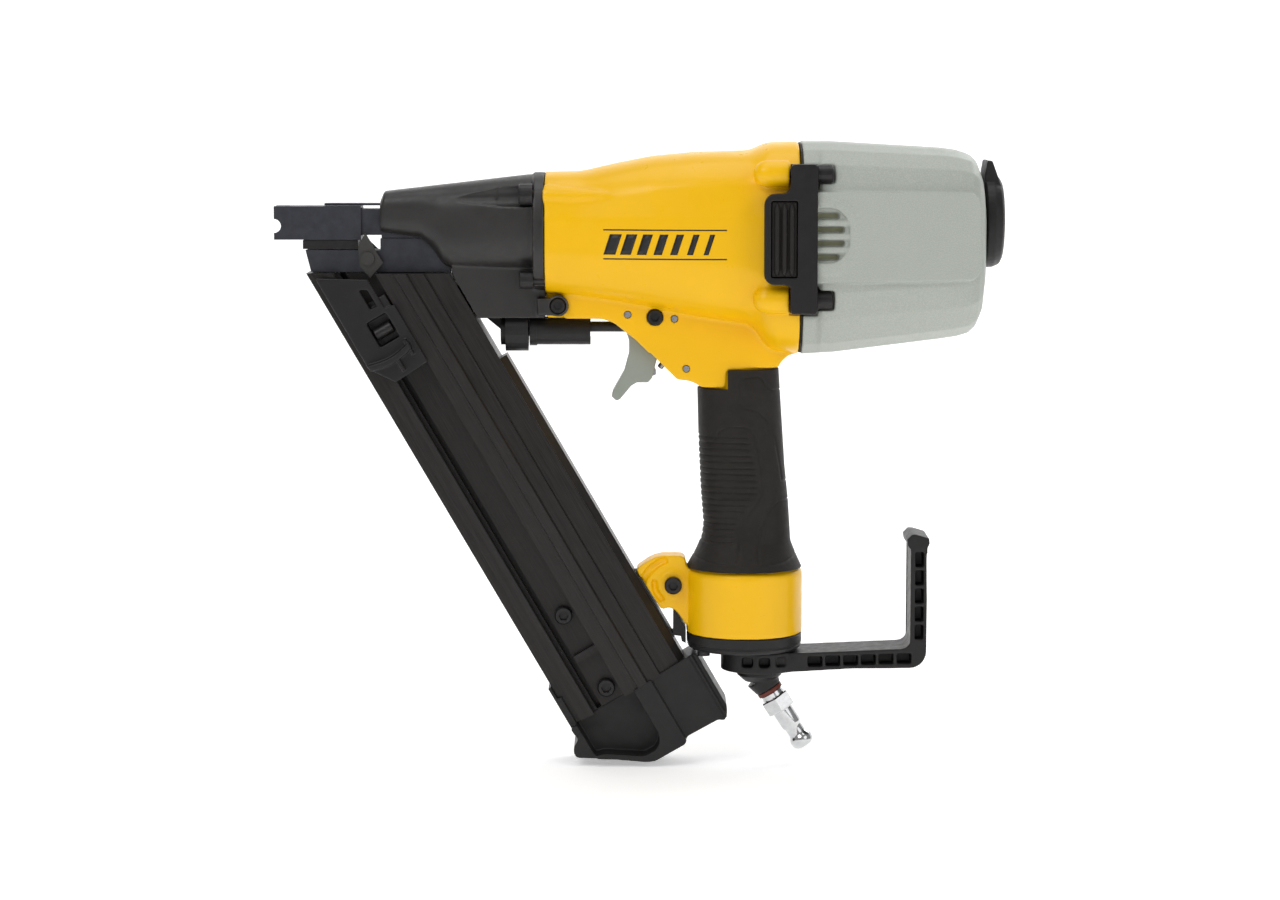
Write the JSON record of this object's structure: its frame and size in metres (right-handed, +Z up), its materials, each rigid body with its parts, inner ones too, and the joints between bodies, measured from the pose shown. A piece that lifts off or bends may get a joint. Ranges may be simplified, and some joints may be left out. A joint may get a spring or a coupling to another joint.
{
  "type": "pneumatic nail gun",
  "caption": "Pneumatic framing nailer with a slanted strip magazine, contact tip, trigger, rubber grip, rafter hook and rear exhaust cap, its drive piston and valves inside.",
  "frame": {"origin": "centre of the whole tool's bounding box, in the middle plane of the tool", "axes": "+X back along the drive axis from the contact tip to the exhaust, +Y to the far side of the tool, +Z up, with the handle hanging down"},
  "size_m": [0.4466, 0.1244, 0.3857],
  "materials": {
    "yellow_paint": "gloss yellow paint on a casting",
    "grey_green_paint": "fine textured grey-green paint",
    "black_paint": "satin black paint",
    "black_anodised": "black anodised, soft sheen",
    "steel": "bright steel",
    "dark_steel": "blackened steel",
    "chrome": "bright chrome",
    "aluminium": "machined",
    "rubber": "matte black rubber",
    "black_plastic": "satin black",
    "grey_plastic": "satin grey-green",
    "red_seal": "red-brown sealing compound"
  },
  "bodies": {
    "housing": {"main_housing": "yellow_paint", "cylinder_sleeve": "aluminium", "bumper": "rubber", "cap_gasket": "rubber", "rear_cap": "grey_green_paint", "deflector_screw": "dark_steel", "cap_screw_upper_near": "dark_steel", "cap_screw_lower_near": "dark_steel", "cap_screw_upper_far": "dark_steel", "cap_screw_lower_far": "dark_steel", "side_guard_near": "black_paint", "side_guard_far": "black_paint", "guard_pad_near": "rubber", "guard_pad_far": "rubber", "nose_casting": "black_paint", "nose_guide": "dark_steel", "feed_block": "dark_steel", "dry_fire_pin": "chrome", "nose_screw_upper_near": "dark_steel", "nose_screw_lower_near": "dark_steel", "nose_screw_upper_far": "dark_steel", "nose_screw_lower_far": "dark_steel", "contact_spring": "steel", "trip_guide": "black_plastic", "trigger_pin": "steel", "trigger_valve_body": "grey_plastic", "valve_pin_upper": "steel", "valve_pin_lower": "steel", "side_screw": "dark_steel", "ear_screw": "dark_steel", "grip_sleeve": "rubber", "end_cap": "black_plastic", "end_cap_screw": "dark_steel", "bracket_bolt": "dark_steel", "bracket_nut": "steel", "inlet_boss": "black_plastic", "thread_seal": "red_seal", "air_plug": "chrome", "magazine_rail": "black_anodised", "magazine_bolt_upper": "dark_steel", "magazine_bolt_lower": "dark_steel", "magazine_bracket": "black_paint", "magazine_end_cover": "black_plastic"},
    "piston_unit": {"piston": "aluminium", "piston_ring": "rubber", "driver_blade": "steel"},
    "head_valve_unit": {"head_valve": "aluminium", "head_valve_spring": "steel"},
    "contact_unit": {"contact_arm": "dark_steel", "trip_rod": "dark_steel"},
    "contact_tip": {"contact_tip": "dark_steel"},
    "depth_wheel": {"depth_wheel": "black_plastic"},
    "trigger": {"trigger": "grey_plastic"},
    "trip_lever": {"trip_lever": "steel"},
    "valve_stem": {"trigger_valve_stem": "steel"},
    "dry_fire_lever": {"dry_fire_lever": "dark_steel"},
    "exhaust_deflector": {"exhaust_deflector": "black_plastic"},
    "rafter_hook": {"rafter_hook": "black_plastic"},
    "pusher_unit": {"pusher": "black_anodised", "pusher_spring": "steel"}
  },
  "joints": [
    {"name": "drive_stroke", "type": "slide", "parent": "housing", "child": "piston_unit", "axis": [-1, 0, 0], "range_m": [0, 0.1]},
    {"name": "head_valve_stroke", "type": "slide", "parent": "housing", "child": "head_valve_unit", "axis": [1, 0, 0], "range_m": [0, 0.008], "stiffness_N_per_m": 1500, "springref_m": -0.002},
    {"name": "contact_press", "type": "slide", "parent": "housing", "child": "contact_unit", "axis": [1, 0, 0], "range_m": [0, 0.011], "stiffness_N_per_m": 900, "springref_m": -0.006, "deforming": ["contact_spring"]},
    {"name": "depth_turn", "type": "hinge", "parent": "housing", "child": "depth_wheel", "pos_m": [-0.0749, 0, 0.07595], "axis": [1, 0, 0], "range_deg": [0, 1080]},
    {"name": "tip_depth", "type": "slide", "parent": "contact_unit", "child": "contact_tip", "axis": [-1, 0, 0], "range_m": [0, 0.0045]},
    {"name": "trigger_pull", "type": "hinge", "parent": "housing", "child": "trigger", "pos_m": [-0.0067, 0, 0.08735], "axis": [0, -1, 0], "range_deg": [0, 6.3], "stiffness_Nm_per_rad": 2, "springref_deg": -5.73},
    {"name": "trip_lever_swing", "type": "hinge", "parent": "trigger", "child": "trip_lever", "pos_m": [0.0089, 0, 0.05045], "axis": [0, -1, 0], "range_deg": [0, 5.5], "stiffness_Nm_per_rad": 0.2, "springref_deg": -5.73},
    {"name": "valve_stroke", "type": "slide", "parent": "housing", "child": "valve_stem", "axis": [0.6, 0, 0.8], "range_m": [0, 0.00265]},
    {"name": "dry_fire_swing", "type": "hinge", "parent": "housing", "child": "dry_fire_lever", "pos_m": [-0.1657, -0.0119, 0.12155], "axis": [0, 1, 0], "range_deg": [0, 10], "stiffness_Nm_per_rad": 0.1, "springref_deg": -5.73},
    {"name": "deflector_turn", "type": "hinge", "parent": "housing", "child": "exhaust_deflector", "pos_m": [0.2163, 0, 0.14405], "axis": [1, 0, 0], "continuous": true},
    {"name": "hook_turn", "type": "hinge", "parent": "housing", "child": "rafter_hook", "pos_m": [0.0753, 0, -0.12845], "axis": [0, 0, 1], "range_deg": [-100, 100]},
    {"name": "pusher_slide", "type": "slide", "parent": "housing", "child": "pusher_unit", "axis": [0.503, 0, -0.8643], "range_m": [0, 0.205]}
  ],
  "couplings": [
    {"joint": "depth_turn", "follows": "tip_depth", "rad_per_m": 4188.8},
    {"joint": "valve_stroke", "follows": "trigger_pull", "m_per_rad": 0.024}
  ]
}
